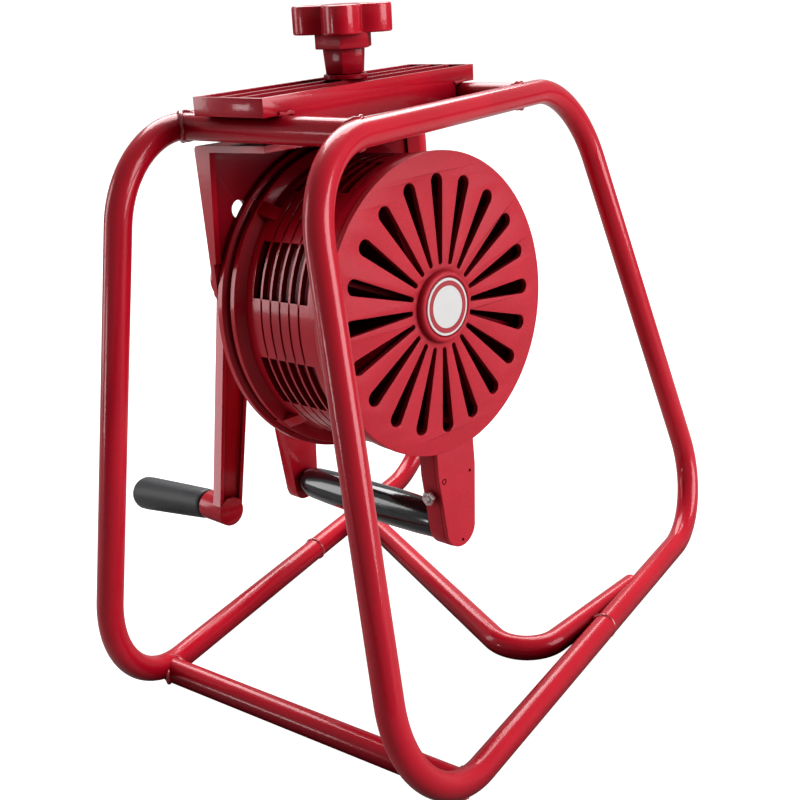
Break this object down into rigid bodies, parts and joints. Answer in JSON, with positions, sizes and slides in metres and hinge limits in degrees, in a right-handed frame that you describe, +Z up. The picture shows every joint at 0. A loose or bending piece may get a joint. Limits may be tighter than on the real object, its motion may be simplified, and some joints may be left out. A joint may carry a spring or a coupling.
{
  "type": "hand siren",
  "caption": "Hand-cranked mechanical siren in a round slotted casing, hung by a star-knob clamp from a welded tube stand, with a carry handle and a geared crank.",
  "frame": {"origin": "on the floor, on the underside of the stand's base brace, near the middle of the stand", "axes": "+Z up, +X the way the grille faces (the siren itself sits 9.7 degrees round towards -Y and tilts up 3.2 degrees), +Y across the stand"},
  "size_m": [0.4347, 0.4384, 0.4109],
  "materials": {
    "red_paint": "gloss red paint",
    "satin_red": "satin red paint",
    "black_plastic": "gloss black",
    "grey_rubber": "satin dark grey",
    "zinc_plate": "bright zinc plate",
    "steel": "machined steel",
    "bronze": "sintered bronze",
    "white_label": "white disc"
  },
  "bodies": {
    "stand": {"front_frame_loop": "red_paint", "rear_frame_loop": "red_paint", "top_cross_bar_near": "red_paint", "top_cross_bar_far": "red_paint", "base_cross_bar": "red_paint", "base_brace": "red_paint", "clamp_tray": "red_paint"},
    "clamp": {"clamp_bolt": "zinc_plate"},
    "washer": {"clamp_washer": "red_paint"},
    "knob": {"star_knob": "red_paint"},
    "siren": {"mounting_bracket": "red_paint", "stator_casing": "red_paint", "front_grille": "satin_red", "grille_hub": "satin_red", "hub_badge": "white_label", "front_handle_arm": "satin_red", "rear_handle_arm": "red_paint", "carry_rod": "steel", "handle_bolt": "zinc_plate", "handle_nut": "zinc_plate", "rotor_bearing_front": "steel", "rotor_bearing_rear": "steel", "gear_housing": "red_paint", "crank_bush_front": "bronze", "crank_bush_rear": "bronze", "bracket_bolt_1": "zinc_plate", "bracket_bolt_2": "zinc_plate", "bracket_bolt_3": "zinc_plate", "bracket_bolt_4": "zinc_plate", "housing_screw_1": "zinc_plate", "housing_screw_2": "zinc_plate", "housing_screw_3": "zinc_plate", "housing_screw_4": "zinc_plate", "carry_grip": "black_plastic"},
    "rotor": {"rotor": "red_paint", "rotor_shaft": "steel", "rotor_nut": "zinc_plate", "rotor_pinion": "steel"},
    "layshaft": {"layshaft": "steel", "layshaft_gear": "steel", "layshaft_pinion": "steel"},
    "crank": {"crank_shaft": "steel", "crank_gear": "steel", "crank_arm": "red_paint", "crank_nut": "zinc_plate", "grip_spindle": "steel"},
    "crank_grip": {"crank_grip": "grey_rubber"}
  },
  "joints": [
    {"name": "clamp_slide", "type": "slide", "parent": "stand", "child": "clamp", "axis": [0, 1, 0], "range_m": [-0.012, 0.012]},
    {"name": "washer_lift", "type": "slide", "parent": "clamp", "child": "washer", "axis": [0, 0, 1], "range_m": [0, 0.003]},
    {"name": "knob_turn", "type": "hinge", "parent": "washer", "child": "knob", "pos_m": [-0.0409, -0.02396, 0.38], "axis": [0, 0, 1], "range_deg": [0, 720]},
    {"name": "siren_swivel", "type": "hinge", "parent": "clamp", "child": "siren", "pos_m": [-0.0409, -0.02396, 0.335], "axis": [0, 0, 1], "range_deg": [0, 8]},
    {"name": "crank_turn", "type": "hinge", "parent": "siren", "child": "crank", "pos_m": [-0.18079, 0.0112, 0.21683], "axis": [0.9842, -0.1682, 0.0558], "continuous": true},
    {"name": "layshaft_spin", "type": "hinge", "parent": "siren", "child": "layshaft", "pos_m": [-0.08534, -0.00512, 0.2583], "axis": [0.9842, -0.1682, 0.0558], "continuous": true},
    {"name": "rotor_spin", "type": "hinge", "parent": "siren", "child": "rotor", "pos_m": [-0.02431, -0.01555, 0.22571], "axis": [0.9842, -0.1682, 0.0558], "continuous": true},
    {"name": "crank_grip_spin", "type": "hinge", "parent": "crank", "child": "crank_grip", "pos_m": [-0.20469, -0.02112, 0.03916], "axis": [0.9762, -0.145, 0.1612], "continuous": true}
  ],
  "couplings": [
    {"joint": "washer_lift", "follows": "knob_turn", "m_per_rad": 0.00023873},
    {"joint": "layshaft_spin", "follows": "crank_turn", "ratio": -3.5},
    {"joint": "rotor_spin", "follows": "crank_turn", "ratio": 10.5}
  ]
}
